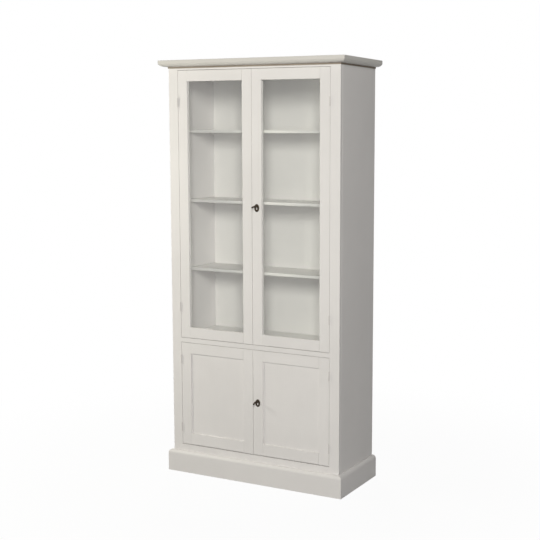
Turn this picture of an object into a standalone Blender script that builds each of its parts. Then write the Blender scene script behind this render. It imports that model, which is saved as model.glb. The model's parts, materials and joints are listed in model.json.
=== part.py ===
# Glazed display cabinet with four inset doors, modelled at real size in metres.
# +X is the cabinet's right as seen from the front, +Y its back, +Z up.
# The origin is at the middle of the floor under the cabinet.

import math

import bmesh
import bpy
from mathutils import Matrix, Vector

# Whole cabinet
OVERALL_HEIGHT = 2.000
CARCASS_WIDTH = 0.916
CARCASS_DEPTH = 0.360
FIT = 0.0003  # space left between pieces that touch
ARRIS = 0.0008  # eased edges of the boards
OVERRUN = 0.010  # how far cutters run past what they cut
ROUND_STEPS = 5  # faces in a quarter round
SMOOTH_UP_TO = math.radians(35.0)  # faces that meet at less look round

# Moulded top
TOP_OVERHANG = 0.036
TOP_THICKNESS = 0.037
TOP_COVER = 0.0182  # solid wood above the carcass, inside the lid
TOP_ROUND = 0.015

# Plinth
PLINTH_HEIGHT = 0.105
PLINTH_THICKNESS = 0.021
PLINTH_ROUND = 0.017

# Carcass boards
SIDE_THICKNESS = 0.018
BACK_THICKNESS = 0.006
BACK_LIP = 0.009  # how far the side panel's rebate covers the back panel
DECK_THICKNESS = 0.018
SHELF_THICKNESS = 0.014
HOUSING_DEPTH = 0.006
SHELF_SETBACK = 0.120  # from the back of the doors to the shelves' front edges
TOP_SHELF_SHARE = 0.7566  # its underside as a share of the way up the glazed part
MIDDLE_SHELF_SHARE = 0.4982
BOTTOM_SHELF_SHARE = 0.2400
CUPBOARD_SHELF_SHARE = 0.4816  # the same for the cupboard

# Face frame
FRAME_THICKNESS = 0.020
FRAME_STILE = 0.0506
BOTTOM_RAIL_TOP = 0.13625
BOTTOM_RAIL_HEIGHT = 0.060
MIDDLE_RAIL_SHARE = 0.32445  # its underside as a share of the whole height
MIDDLE_RAIL_HEIGHT = 0.0222
TOP_RAIL_HEIGHT = 0.0266

# Doors
DOOR_GAP = 0.0018
BOTTOM_GAP = 0.0035  # under the lower doors
DOOR_THICKNESS = 0.020
UPPER_MEMBER = 0.0506
LOWER_STILE = 0.0526
LOWER_TOP_RAIL = 0.0526
LOWER_BOTTOM_RAIL = 0.0558
GROOVE_DEPTH = 0.008
GLASS_THICKNESS = 0.004
PANEL_THICKNESS = 0.008
GLASS_RECESS = 0.009
PANEL_RECESS = 0.006

# Butt hinges
HINGE_LENGTH = 0.042
HINGE_BARREL = 0.0032
HINGE_BORE = 0.0017
HINGE_PIN = 0.0013
HINGE_LEAF = 0.0007
HINGE_LEAF_DEPTH = 0.0175
HINGE_FROM_UPPER_END = 0.150
HINGE_FROM_LOWER_END = 0.083

# Locks
KEY_SETBACK = 0.0256  # from the door's free edge to the key
LOCK_RISE = {"upper": 0.0116, "lower": 0.0058}  # key above the middle of the door
KEY_RISE = 0.0065  # key above the middle of the escutcheon
ESCUTCHEON_WIDTH = 0.026
ESCUTCHEON_HEIGHT = 0.037
ESCUTCHEON_THICKNESS = 0.0012
ESCUTCHEON_TAPER = 0.93  # front outline against the back one
KEYHOLE_RADIUS = 0.0030
KEYHOLE_SLOT_WIDTH = 0.0028  # slot in the door
KEYHOLE_SLOT_DROP = 0.0075
PLATE_SLOT_WIDTH = 0.0058  # wider and longer slot in the escutcheon
PLATE_SLOT_DROP = 0.0150
LOCK_CASE_TO_EDGE = 0.019  # case from the key's axis towards the door's edge
LOCK_CASE_TO_FILL = 0.0158  # and towards the glass or panel
LOCK_CASE_HEIGHT = 0.040
LOCK_CASE_THICKNESS = 0.010
LOCK_CASE_RISE = 0.003  # case centre above the key
LOCK_CHAMBER = 0.0064
CHAMBER_DEPTH = 0.0080
BOLT_THICKNESS = 0.0035
BOLT_HEIGHT = 0.009
BOLT_ABOVE_KEY = 0.0034
BOLT_THROW = 0.0096
BOLT_SETBACK = 0.0008
BOLT_TAIL = 0.0125  # bolt beyond the key's axis
BOLT_NOTCH_WIDTH = 0.0046
BOLT_NOTCH_DEPTH = 0.0030
MORTISE_SPARE = 0.003  # mortise deeper than the bolt's throw
KEY_SHAFT = 0.0024
KEY_BIT_REACH = 0.0057
KEY_BIT_THICKNESS = 0.0022
KEY_TURN = math.radians(120.0)
PART_TURNED = {"upper": 0.0, "lower": 25.0 / 120.0}  # share of the key's turn already made at rest
KEY_COLLAR = 0.0040
KEY_COLLAR_LENGTH = 0.0018
KEY_STANDOFF = 0.0022  # from the escutcheon to the collar
KEY_LENGTH_OUTSIDE = 0.040
BOW_WIDTH = 0.022
BOW_LENGTH = 0.018
BOW_TUBE = 0.0025

# Sprung catches of the left doors
CATCH_RADIUS = 0.0035
CATCH_LENGTH = 0.014
CATCH_BALL = 0.0026
CATCH_PROUD = 0.0010

# Worked out from the sizes above
FOREMOST = max(TOP_OVERHANG, KEY_LENGTH_OUTSIDE)  # what stands out most from the doors' faces
FRONT = FOREMOST - (CARCASS_DEPTH + FOREMOST) / 2
BACK = FRONT + CARCASS_DEPTH
HALF_WIDTH = CARCASS_WIDTH / 2
TOP_UNDERSIDE = OVERALL_HEIGHT - TOP_THICKNESS
CARCASS_TOP = OVERALL_HEIGHT - TOP_COVER - FIT
FRAME_BACK = FRONT + FRAME_THICKNESS
SIDE_INNER = HALF_WIDTH - SIDE_THICKNESS
BACK_INNER = BACK - BACK_THICKNESS - FIT
OPENING_HALF = HALF_WIDTH - FRAME_STILE
DOOR_BACK = FRONT + DOOR_THICKNESS
SHELF_FRONT = DOOR_BACK + SHELF_SETBACK
MIDDLE_RAIL_BOTTOM = OVERALL_HEIGHT * MIDDLE_RAIL_SHARE
MIDDLE_RAIL_TOP = MIDDLE_RAIL_BOTTOM + MIDDLE_RAIL_HEIGHT
TOP_RAIL_BOTTOM = CARCASS_TOP - TOP_RAIL_HEIGHT
DOOR_OUTER = OPENING_HALF - DOOR_GAP
DOOR_INNER = DOOR_GAP / 2
UPPER_DOOR = (MIDDLE_RAIL_TOP + DOOR_GAP, TOP_RAIL_BOTTOM - DOOR_GAP)
LOWER_DOOR = (BOTTOM_RAIL_TOP + BOTTOM_GAP, MIDDLE_RAIL_BOTTOM - DOOR_GAP)
HINGE_AXIS_X = OPENING_HALF - DOOR_GAP / 2
HINGE_AXIS_Y = FRONT - HINGE_BARREL - FIT
KEY_X = DOOR_INNER + KEY_SETBACK

# Colours from the photograph: base colour, roughness, metallic
MATERIALS = {
    "cream_paint": ((0.80, 0.77, 0.71), 0.45, 0.0),
    "inner_paint": ((0.74, 0.73, 0.69), 0.50, 0.0),
    "painted_hinge": ((0.80, 0.77, 0.71), 0.45, 0.0),
    "clear_glass": ((0.85, 0.90, 0.88), 0.05, 0.0),
    "dark_bronze": ((0.055, 0.042, 0.030), 0.45, 0.9),
    "lock_steel": ((0.42, 0.40, 0.37), 0.40, 1.0),
    "catch_brass": ((0.62, 0.48, 0.22), 0.35, 1.0),
}


def clear_scene():
    for item in list(bpy.data.objects):
        bpy.data.objects.remove(item)
    for mesh in list(bpy.data.meshes):
        bpy.data.meshes.remove(mesh)


def material(name):
    if name in bpy.data.materials:
        return bpy.data.materials[name]
    colour, roughness, metallic = MATERIALS[name]
    made = bpy.data.materials.new(name)
    made.use_nodes = True
    shader = made.node_tree.nodes["Principled BSDF"]
    shader.inputs["Base Color"].default_value = (*colour, 1.0)
    shader.inputs["Roughness"].default_value = roughness
    shader.inputs["Metallic"].default_value = metallic
    if name == "clear_glass":
        shader.inputs["Transmission Weight"].default_value = 1.0
    return made


def place(name, bm, finish, origin=(0.0, 0.0, 0.0)):
    """Makes the object of a bmesh in world space, with the object's origin on a joint's axis."""
    bm.transform(Matrix.Translation(-Vector(origin)))
    mesh = bpy.data.meshes.new(name)
    bm.to_mesh(mesh)
    bm.free()
    made = bpy.data.objects.new(name, mesh)
    made.location = origin
    made.data.materials.append(material(finish))
    bpy.context.scene.collection.objects.link(made)
    return made


def helper(name, bm):
    """A cutter or a tongue for a Boolean, which isn't a piece of the cabinet."""
    mesh = bpy.data.meshes.new(name)
    bm.to_mesh(mesh)
    bm.free()
    made = bpy.data.objects.new(name, mesh)
    made.hide_render = True
    made.display_type = "WIRE"
    bpy.context.scene.collection.objects.link(made)
    return made


def boolean(target, other, operation):
    step = target.modifiers.new(operation.title() + "_" + other.name, "BOOLEAN")
    step.operation = operation
    step.solver = "EXACT"
    step.object = other
    return step


def add_box(bm, low, high):
    size = [high[i] - low[i] for i in range(3)]
    middle = [(high[i] + low[i]) / 2 for i in range(3)]
    matrix = Matrix.Translation(middle) @ Matrix.Diagonal((*size, 1.0))
    bmesh.ops.create_cube(bm, size=1.0, matrix=matrix)


def box(low, high):
    bm = bmesh.new()
    add_box(bm, low, high)
    return bm


def add_rod(bm, centre, radius, length, axis, sides=16, radius_end=None):
    """A closed cylinder or cone with its middle at centre, along Y or Z."""
    turn = Matrix.Rotation(-math.pi / 2, 4, "X") if axis == "Y" else Matrix.Identity(4)
    bmesh.ops.create_cone(
        bm,
        cap_ends=True,
        segments=sides,
        radius1=radius,
        radius2=radius if radius_end is None else radius_end,
        depth=length,
        matrix=Matrix.Translation(centre) @ turn,
    )


def ease(bm, axis, width=ARRIS):
    """Takes the sharp arris off the outer edges along one axis, so that square ends stay square."""
    chosen = []
    for edge in bm.edges:
        way = edge.verts[1].co - edge.verts[0].co
        along = abs(way[axis]) > 0.999 * way.length
        if along and edge.is_convex and edge.calc_face_angle(0.0) > math.radians(60):
            chosen.append(edge)
    bmesh.ops.bevel(
        bm, geom=chosen, offset=width, segments=1, profile=0.5, affect="EDGES", material=-1
    )


def extrude_outline(points, low, high, axis):
    """A prism: a closed outline of (first, second) pairs across the axis, run from low to high along it."""
    def spot(pair, along):
        if axis == "Z":
            return (pair[0], pair[1], along)
        return (along, pair[0], pair[1])

    bm = bmesh.new()
    face = bm.faces.new([bm.verts.new(spot(pair, low)) for pair in points])
    grown = bmesh.ops.extrude_face_region(bm, geom=[face])["geom"]
    moved = [item for item in grown if isinstance(item, bmesh.types.BMVert)]
    shift = Vector(spot((0.0, 0.0), high)) - Vector(spot((0.0, 0.0), low))
    bmesh.ops.translate(bm, verts=moved, vec=shift)
    bmesh.ops.recalc_face_normals(bm, faces=bm.faces)
    return bm


def mirrored(pairs, side):
    return [(side * first, second) for first, second in pairs]


def deck_levels():
    """(name, underside, top) of every board that is housed in the side panels."""
    middle_underside = MIDDLE_RAIL_TOP - DECK_THICKNESS
    cupboard = BOTTOM_RAIL_TOP + CUPBOARD_SHELF_SHARE * (middle_underside - BOTTOM_RAIL_TOP)
    levels = [
        ("bottom_deck", BOTTOM_RAIL_TOP - DECK_THICKNESS, BOTTOM_RAIL_TOP),
        ("middle_deck", middle_underside, MIDDLE_RAIL_TOP),
        ("cupboard_shelf", cupboard, cupboard + SHELF_THICKNESS),
    ]
    for name, share in (
        ("shelf_top", TOP_SHELF_SHARE),
        ("shelf_middle", MIDDLE_SHELF_SHARE),
        ("shelf_bottom", BOTTOM_SHELF_SHARE),
    ):
        height = MIDDLE_RAIL_TOP + share * (CARCASS_TOP - MIDDLE_RAIL_TOP)
        levels.append((name, height, height + SHELF_THICKNESS))
    return levels


def board_front(name):
    return FRAME_BACK + FIT if name.endswith("deck") else SHELF_FRONT


def make_side_panels():
    outline = [
        (HALF_WIDTH, FRAME_BACK + FIT),
        (HALF_WIDTH, BACK),
        (HALF_WIDTH - (SIDE_THICKNESS - BACK_LIP), BACK),
        (HALF_WIDTH - (SIDE_THICKNESS - BACK_LIP), BACK_INNER),
        (SIDE_INNER, BACK_INNER),
        (SIDE_INNER, FRAME_BACK + FIT),
    ]
    for side, label in ((-1, "left"), (1, "right")):
        bm = extrude_outline(mirrored(outline, side), 0.0, CARCASS_TOP, "Z")
        panel = place("side_panel_" + label, bm, "cream_paint")
        cutter = bmesh.new()
        for name, underside, top in deck_levels():
            ends = sorted((side * (SIDE_INNER - OVERRUN), side * (SIDE_INNER + HOUSING_DEPTH)))
            start = FRAME_BACK - OVERRUN if name.endswith("deck") else board_front(name) - FIT
            low = (ends[0], start, underside - FIT)
            high = (ends[1], BACK + OVERRUN, top + FIT)
            add_box(cutter, low, high)
        boolean(panel, helper("housing_cutter_" + label, cutter), "DIFFERENCE")


def make_decks_and_shelves():
    end = SIDE_INNER + HOUSING_DEPTH - FIT
    for name, underside, top in deck_levels():
        low = (-end, board_front(name), underside)
        high = (end, BACK_INNER - FIT, top)
        bm = box(low, high)
        if not name.endswith("deck"):
            ease(bm, 0)
        place(name, bm, "inner_paint")


def make_back_panel():
    half = SIDE_INNER + BACK_LIP - FIT
    place("back_panel", box((-half, BACK_INNER, 0.0), (half, BACK, CARCASS_TOP)), "inner_paint")


def make_face_frame():
    """Two stiles and three rails, glued up as one frame with its two openings cut through."""
    bm = box((-HALF_WIDTH, FRONT, 0.0), (HALF_WIDTH, FRAME_BACK, CARCASS_TOP))
    ease(bm, 2)
    frame = place("face_frame", bm, "cream_paint")
    openings = (
        (MIDDLE_RAIL_TOP, TOP_RAIL_BOTTOM),
        (BOTTOM_RAIL_TOP, MIDDLE_RAIL_BOTTOM),
        (-OVERRUN, BOTTOM_RAIL_TOP - BOTTOM_RAIL_HEIGHT),
    )
    cutter = bmesh.new()
    for low, high in openings:
        add_box(cutter, (-OPENING_HALF, FRONT - OVERRUN, low), (OPENING_HALF, FRAME_BACK + OVERRUN, high))
    boolean(frame, helper("frame_opening_cutter", cutter), "DIFFERENCE")


def make_top_board():
    """A thick top, rounded below at the front and sides, and hollowed to sit over the carcass."""
    half = HALF_WIDTH + TOP_OVERHANG
    front = FRONT - TOP_OVERHANG
    bm = box((-half, front, TOP_UNDERSIDE), (half, BACK, OVERALL_HEIGHT))
    rounded = []
    eased = []
    for edge in bm.edges:
        points = [vert.co for vert in edge.verts]
        at_back = all(abs(point.y - BACK) < 1e-6 for point in points)
        if at_back:
            continue
        if all(abs(point.z - TOP_UNDERSIDE) < 1e-6 for point in points):
            rounded.append(edge)
        elif all(abs(point.z - OVERALL_HEIGHT) < 1e-6 for point in points):
            eased.append(edge)
    bmesh.ops.bevel(
        bm, geom=rounded, offset=TOP_ROUND, segments=ROUND_STEPS, profile=0.5, affect="EDGES", material=-1
    )
    eased = [edge for edge in eased if edge.is_valid]
    bmesh.ops.bevel(
        bm, geom=eased, offset=2 * ARRIS, segments=2, profile=0.5, affect="EDGES", material=-1
    )
    top = place("top_board", bm, "cream_paint")
    pocket = box(
        (-HALF_WIDTH - FIT, FRONT - FIT, TOP_UNDERSIDE - OVERRUN),
        (HALF_WIDTH + FIT, BACK + OVERRUN, CARCASS_TOP + FIT),
    )
    boolean(top, helper("top_pocket_cutter", pocket), "DIFFERENCE")


def plinth_outline():
    """(outwards, up) section of a plinth board, from its inner face out, with a quarter round on top."""
    points = [(FIT, 0.0), (PLINTH_THICKNESS, 0.0)]
    for step in range(ROUND_STEPS + 1):
        angle = math.pi / 2 * step / ROUND_STEPS
        out = PLINTH_THICKNESS - PLINTH_ROUND * (1 - math.cos(angle))
        points.append((out, PLINTH_HEIGHT - PLINTH_ROUND * (1 - math.sin(angle))))
    points.append((FIT, PLINTH_HEIGHT))
    return points


def cut_mitre(bm, corner, normal):
    """Cuts a moulding off square to normal at corner, keeping what lies behind, and closes the end."""
    way = Vector(normal).normalized()
    geom = bm.verts[:] + bm.edges[:] + bm.faces[:]
    point = Vector(corner) - way * (FIT / 2)
    cut = bmesh.ops.bisect_plane(
        bm, geom=geom, plane_co=point, plane_no=way, clear_outer=True, clear_inner=False
    )
    edges = [item for item in cut["geom_cut"] if isinstance(item, bmesh.types.BMEdge)]
    bmesh.ops.contextual_create(bm, geom=edges)


def make_plinth():
    section = plinth_outline()
    reach = HALF_WIDTH + 2 * PLINTH_THICKNESS
    front = extrude_outline([(FRONT - out, up) for out, up in section], -reach, reach, "X")
    for side in (-1, 1):
        cut_mitre(front, (side * HALF_WIDTH, FRONT, 0.0), (side, 1.0, 0.0))
    bmesh.ops.recalc_face_normals(front, faces=front.faces)
    place("plinth_front", front, "cream_paint")
    for side, label in ((-1, "left"), (1, "right")):
        bm = extrude_outline([(out, up) for out, up in section], FRONT - reach, BACK, "X")
        turn = Matrix(((0.0, side, 0.0, side * HALF_WIDTH), (1.0, 0.0, 0.0, 0.0), (0, 0, 1, 0), (0, 0, 0, 1)))
        bm.transform(turn)
        cut_mitre(bm, (side * HALF_WIDTH, FRONT, 0.0), (-side, -1.0, 0.0))
        bmesh.ops.recalc_face_normals(bm, faces=bm.faces)
        place("plinth_" + label, bm, "cream_paint")


def door_sizes(level):
    """Height limits, member widths and infill of an upper or a lower door."""
    if level == "upper":
        return {
            "low": UPPER_DOOR[0],
            "high": UPPER_DOOR[1],
            "stile": UPPER_MEMBER,
            "top_rail": UPPER_MEMBER,
            "bottom_rail": UPPER_MEMBER,
            "fill": GLASS_THICKNESS,
            "recess": GLASS_RECESS,
            "hinge_inset": HINGE_FROM_UPPER_END,
        }
    return {
        "low": LOWER_DOOR[0],
        "high": LOWER_DOOR[1],
        "stile": LOWER_STILE,
        "top_rail": LOWER_TOP_RAIL,
        "bottom_rail": LOWER_BOTTOM_RAIL,
        "fill": PANEL_THICKNESS,
        "recess": PANEL_RECESS,
        "hinge_inset": HINGE_FROM_LOWER_END,
    }


def grooved_outline(outer, inner, fill, recess):
    """Section of a door member, from its outer edge to the inner one, which is grooved for the infill."""
    step = 1.0 if inner > outer else -1.0
    groove_front = FRONT + recess - FIT
    groove_back = FRONT + recess + fill + FIT
    bottom = inner - step * GROOVE_DEPTH
    return [
        (outer, FRONT),
        (inner, FRONT),
        (inner, groove_front),
        (bottom, groove_front),
        (bottom, groove_back),
        (inner, groove_back),
        (inner, DOOR_BACK),
        (outer, DOOR_BACK),
    ]


def make_door_rail(name, sizes, side, outer, inner, origin):
    """A rail between the stiles, with a tongue at each end that fills the stiles' grooves."""
    ends = sorted((side * (DOOR_OUTER - sizes["stile"]), side * (DOOR_INNER + sizes["stile"])))
    low, high = ends[0] + FIT, ends[1] - FIT
    outline = grooved_outline(outer, inner, sizes["fill"], sizes["recess"])
    bm = extrude_outline([(y, z) for z, y in outline], low, high, "X")
    ease(bm, 0)
    rail = place(name, bm, "cream_paint", origin)
    tongue = bmesh.new()
    reach = GROOVE_DEPTH - FIT
    toward_outer = math.copysign(1.0, outer - inner)
    levels = sorted((outer - toward_outer * ARRIS, inner + toward_outer * GROOVE_DEPTH))
    add_box(
        tongue,
        (low - reach, FRONT + sizes["recess"], levels[0]),
        (high + reach, FRONT + sizes["recess"] + sizes["fill"], levels[1]),
    )
    boolean(rail, helper("tongue_" + name, tongue), "UNION")


def key_height(level, sizes):
    return (sizes["low"] + sizes["high"]) / 2 + LOCK_RISE[level]


def bolt_limits(z):
    """Depth and height limits of a lock's bolt."""
    middle = DOOR_BACK - LOCK_CASE_THICKNESS / 2
    return (
        (middle - BOLT_THICKNESS / 2, middle + BOLT_THICKNESS / 2),
        (z + BOLT_ABOVE_KEY, z + BOLT_ABOVE_KEY + BOLT_HEIGHT),
    )


def case_limits(z):
    """Low and high corners of a lock case in the right door's meeting stile."""
    middle = z + LOCK_CASE_RISE
    return (
        (KEY_X - LOCK_CASE_TO_EDGE, DOOR_BACK - LOCK_CASE_THICKNESS, middle - LOCK_CASE_HEIGHT / 2),
        (KEY_X + LOCK_CASE_TO_FILL, DOOR_BACK, middle + LOCK_CASE_HEIGHT / 2),
    )


def cut_lock_stile(stile, label, z):
    """Pocket for the case, slot for the bolt and keyhole in the right door's meeting stile."""
    low, high = case_limits(z)
    depth, height = bolt_limits(z)
    cutter = bmesh.new()
    add_box(
        cutter,
        (low[0] - FIT, low[1] - FIT, low[2] - FIT),
        (high[0] + FIT, high[1] + OVERRUN, high[2] + FIT),
    )
    boolean(stile, helper("case_cutter_" + label, cutter), "DIFFERENCE")
    slot = box(
        (DOOR_INNER - OVERRUN, depth[0] - FIT, height[0] - FIT),
        (low[0], depth[1] + FIT, height[1] + FIT),
    )
    boolean(stile, helper("bolt_slot_cutter_" + label, slot), "DIFFERENCE")
    hole = bmesh.new()
    add_rod(hole, (KEY_X, FRONT, z), KEYHOLE_RADIUS + FIT, 2 * DOOR_THICKNESS, "Y", 16)
    boolean(stile, helper("keyhole_cutter_" + label, hole), "DIFFERENCE")
    drop = box(
        (KEY_X - KEYHOLE_SLOT_WIDTH / 2 - FIT, FRONT - OVERRUN, z - KEYHOLE_SLOT_DROP - FIT),
        (KEY_X + KEYHOLE_SLOT_WIDTH / 2 + FIT, low[1] + FIT, z - FIT),
    )
    boolean(stile, helper("keyhole_slot_cutter_" + label, drop), "DIFFERENCE")


def cut_strike_stile(stile, label, z, top):
    """Mortise for the other door's bolt and bore of the catch, in the left door's meeting stile."""
    depth, height = bolt_limits(z)
    reach = BOLT_THROW - BOLT_SETBACK - DOOR_GAP + MORTISE_SPARE
    mortise = box(
        (-DOOR_INNER - reach, depth[0] - FIT, height[0] - FIT),
        (DOOR_INNER, depth[1] + FIT, height[1] + FIT),
    )
    boolean(stile, helper("strike_cutter_" + label, mortise), "DIFFERENCE")
    bore = bmesh.new()
    add_rod(
        bore,
        (-KEY_X, FRONT + DOOR_THICKNESS / 2, top - CATCH_LENGTH / 2 + (OVERRUN - FIT) / 2),
        CATCH_RADIUS + 2 * FIT,
        CATCH_LENGTH + OVERRUN + FIT,
        "Z",
    )
    boolean(stile, helper("catch_bore_cutter_" + label, bore), "DIFFERENCE")


def make_catch(level, top, origin):
    bm = bmesh.new()
    y = FRONT + DOOR_THICKNESS / 2
    add_rod(bm, (-KEY_X, y, top - CATCH_LENGTH / 2), CATCH_RADIUS, CATCH_LENGTH, "Z")
    catch = place("bullet_catch_" + level, bm, "catch_brass", origin)
    ball = bmesh.new()
    bmesh.ops.create_icosphere(
        ball,
        subdivisions=2,
        radius=CATCH_BALL,
        matrix=Matrix.Translation(Vector((-KEY_X, y, top + CATCH_PROUD - CATCH_BALL)) - Vector(origin)),
    )
    joined = helper("catch_ball_" + level, ball)
    joined.location = origin
    boolean(catch, joined, "UNION")


def make_door(level, side):
    label = level + ("_left" if side < 0 else "_right")
    sizes = door_sizes(level)
    origin = (side * HINGE_AXIS_X, HINGE_AXIS_Y, (sizes["low"] + sizes["high"]) / 2)
    names = {}
    for member, outer, inner in (
        ("hinge_stile", DOOR_OUTER, DOOR_OUTER - sizes["stile"]),
        ("meeting_stile", DOOR_INNER, DOOR_INNER + sizes["stile"]),
    ):
        outline = grooved_outline(outer, inner, sizes["fill"], sizes["recess"])
        bm = extrude_outline(mirrored(outline, side), sizes["low"], sizes["high"], "Z")
        ease(bm, 2)
        names[member] = place(label + "_" + member, bm, "cream_paint", origin)
    top_edge = sizes["high"] - sizes["top_rail"]
    bottom_edge = sizes["low"] + sizes["bottom_rail"]
    make_door_rail(label + "_top_rail", sizes, side, sizes["high"], top_edge, origin)
    make_door_rail(label + "_bottom_rail", sizes, side, sizes["low"], bottom_edge, origin)
    reach = GROOVE_DEPTH - FIT
    outer_end = DOOR_OUTER - sizes["stile"] + reach
    inner_end = DOOR_INNER + sizes["stile"] - reach
    ends = sorted((side * outer_end, side * inner_end))
    low = (ends[0], FRONT + sizes["recess"], bottom_edge - reach)
    high = (ends[1], FRONT + sizes["recess"] + sizes["fill"], top_edge + reach)
    fill = "_glass_pane" if level == "upper" else "_panel"
    finish = "clear_glass" if level == "upper" else "cream_paint"
    place(label + fill, box(low, high), finish, origin)
    z = key_height(level, sizes)
    if side > 0:
        cut_lock_stile(names["meeting_stile"], label, z)
        make_lock(level, z, origin)
    else:
        cut_strike_stile(names["meeting_stile"], label, z, sizes["high"])
        make_catch(level, sizes["high"], origin)
    for spot, height in (
        ("top", sizes["high"] - sizes["hinge_inset"]),
        ("bottom", sizes["low"] + sizes["hinge_inset"]),
    ):
        place_hinge(label + "_" + spot, side, height)


def make_escutcheon(level, z, origin):
    back = FRONT - FIT
    middle = back - ESCUTCHEON_THICKNESS / 2
    bm = bmesh.new()
    add_rod(bm, (0.0, 0.0, 0.0), 0.5, ESCUTCHEON_THICKNESS, "Y", 32, 0.5 * ESCUTCHEON_TAPER)
    bm.transform(Matrix.Diagonal((ESCUTCHEON_WIDTH, 1.0, ESCUTCHEON_HEIGHT, 1.0)))
    bm.transform(Matrix.Rotation(math.pi, 4, "Z"))
    bm.transform(Matrix.Translation((KEY_X, middle, z - KEY_RISE)))
    plate = place("escutcheon_" + level, bm, "dark_bronze", origin)
    hole = bmesh.new()
    add_rod(hole, (KEY_X, middle, z), KEYHOLE_RADIUS, OVERRUN, "Y", 16)
    boolean(plate, helper("escutcheon_hole_" + level, hole), "DIFFERENCE")
    half = PLATE_SLOT_WIDTH / 2
    slot = box(
        (KEY_X - half, middle - OVERRUN, z - PLATE_SLOT_DROP),
        (KEY_X + half, middle + OVERRUN, z - FIT),
    )
    boolean(plate, helper("escutcheon_slot_" + level, slot), "DIFFERENCE")


def make_lock_case(level, z, origin):
    """A steel case with a slot for the bolt, open at the door's edge, and a round chamber for the bit."""
    low, high = case_limits(z)
    depth, height = bolt_limits(z)
    bm = box(low, high)
    case = place("lock_case_" + level, bm, "lock_steel", origin)
    channel = box(
        (low[0] - OVERRUN, depth[0] - FIT, height[0] - FIT),
        (KEY_X + BOLT_TAIL + FIT, depth[1] + FIT, height[1] + FIT),
    )
    boolean(case, helper("bolt_channel_" + level, channel), "DIFFERENCE")
    chamber = bmesh.new()
    front = low[1] - OVERRUN
    back = low[1] + CHAMBER_DEPTH
    add_rod(chamber, (KEY_X, (front + back) / 2, z), LOCK_CHAMBER, back - front, "Y", 24)
    boolean(case, helper("bit_chamber_" + level, chamber), "DIFFERENCE")


def make_bolt(level, z, origin):
    depth, height = bolt_limits(z)
    thrown = BOLT_THROW * PART_TURNED[level]
    head = DOOR_INNER + BOLT_SETBACK - thrown
    tail = KEY_X + BOLT_TAIL - FIT - thrown
    bm = box((head, depth[0], height[0]), (tail, depth[1], height[1]))
    bolt = place("lock_bolt_" + level, bm, "lock_steel", origin)
    centre = KEY_X + BOLT_THROW / 2 - thrown
    notch = box(
        (centre - BOLT_NOTCH_WIDTH / 2, depth[0] - OVERRUN, height[0] - OVERRUN),
        (centre + BOLT_NOTCH_WIDTH / 2, depth[1] + OVERRUN, height[0] + BOLT_NOTCH_DEPTH),
    )
    boolean(bolt, helper("bolt_notch_" + level, notch), "DIFFERENCE")


def make_key(level, z):
    """A key: oval bow, collar, shaft and bit in one plane. At rest the bit points up and away from the edge."""
    axis = (KEY_X, FRONT, z)
    outer = FRONT - KEY_LENGTH_OUTSIDE
    case_front = DOOR_BACK - LOCK_CASE_THICKNESS
    tip = case_front + CHAMBER_DEPTH - 2 * FIT
    bow_middle = outer + BOW_LENGTH / 2
    shaft_start = outer + BOW_LENGTH - BOW_TUBE
    rest = KEY_TURN * (0.5 - PART_TURNED[level])
    bm = bmesh.new()
    add_rod(bm, (KEY_X, (shaft_start + tip) / 2, z), KEY_SHAFT, tip - shaft_start, "Y", 16)
    key = place("key_" + level, bm, "dark_bronze", axis)
    bow = bmesh.new()
    ring = bmesh.ops.create_circle(bow, segments=8, radius=BOW_TUBE)
    major = BOW_WIDTH / 2 - BOW_TUBE
    bmesh.ops.rotate(bow, verts=ring["verts"], cent=(0, 0, 0), matrix=Matrix.Rotation(math.pi / 2, 3, "X"))
    bmesh.ops.translate(bow, verts=ring["verts"], vec=(major, 0.0, 0.0))
    bmesh.ops.spin(
        bow, geom=bow.edges[:], cent=(0, 0, 0), axis=(0, 0, 1), angle=2 * math.pi, steps=24, use_merge=True
    )
    bmesh.ops.remove_doubles(bow, verts=bow.verts, dist=1e-6)
    bow.transform(Matrix.Diagonal((1.0, BOW_LENGTH / BOW_WIDTH, 1.0, 1.0)))
    bmesh.ops.recalc_face_normals(bow, faces=bow.faces)
    turn = Matrix.Rotation(rest - math.pi / 2, 4, "Y")
    bow.transform(Matrix.Translation((0.0, bow_middle - FRONT, 0.0)) @ turn)
    bow_helper = helper("key_bow_" + level, bow)
    bow_helper.location = axis
    boolean(key, bow_helper, "UNION")
    collar = bmesh.new()
    collar_end = -ESCUTCHEON_THICKNESS - FIT - KEY_STANDOFF
    add_rod(collar, (0.0, collar_end - KEY_COLLAR_LENGTH / 2, 0.0), KEY_COLLAR, KEY_COLLAR_LENGTH, "Y", 16)
    collar_helper = helper("key_collar_" + level, collar)
    collar_helper.location = axis
    boolean(key, collar_helper, "UNION")
    half = KEY_BIT_THICKNESS / 2
    bit = box(
        (-half, case_front + 2 * FIT - FRONT, 0.0),
        (half, tip - 2 * FIT - FRONT, KEY_BIT_REACH),
    )
    bit.transform(Matrix.Rotation(rest, 4, "Y"))
    bit_helper = helper("key_bit_" + level, bit)
    bit_helper.location = axis
    boolean(key, bit_helper, "UNION")


def make_lock(level, z, origin):
    make_escutcheon(level, z, origin)
    make_lock_case(level, z, origin)
    make_bolt(level, z, origin)
    make_key(level, z)


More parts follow.
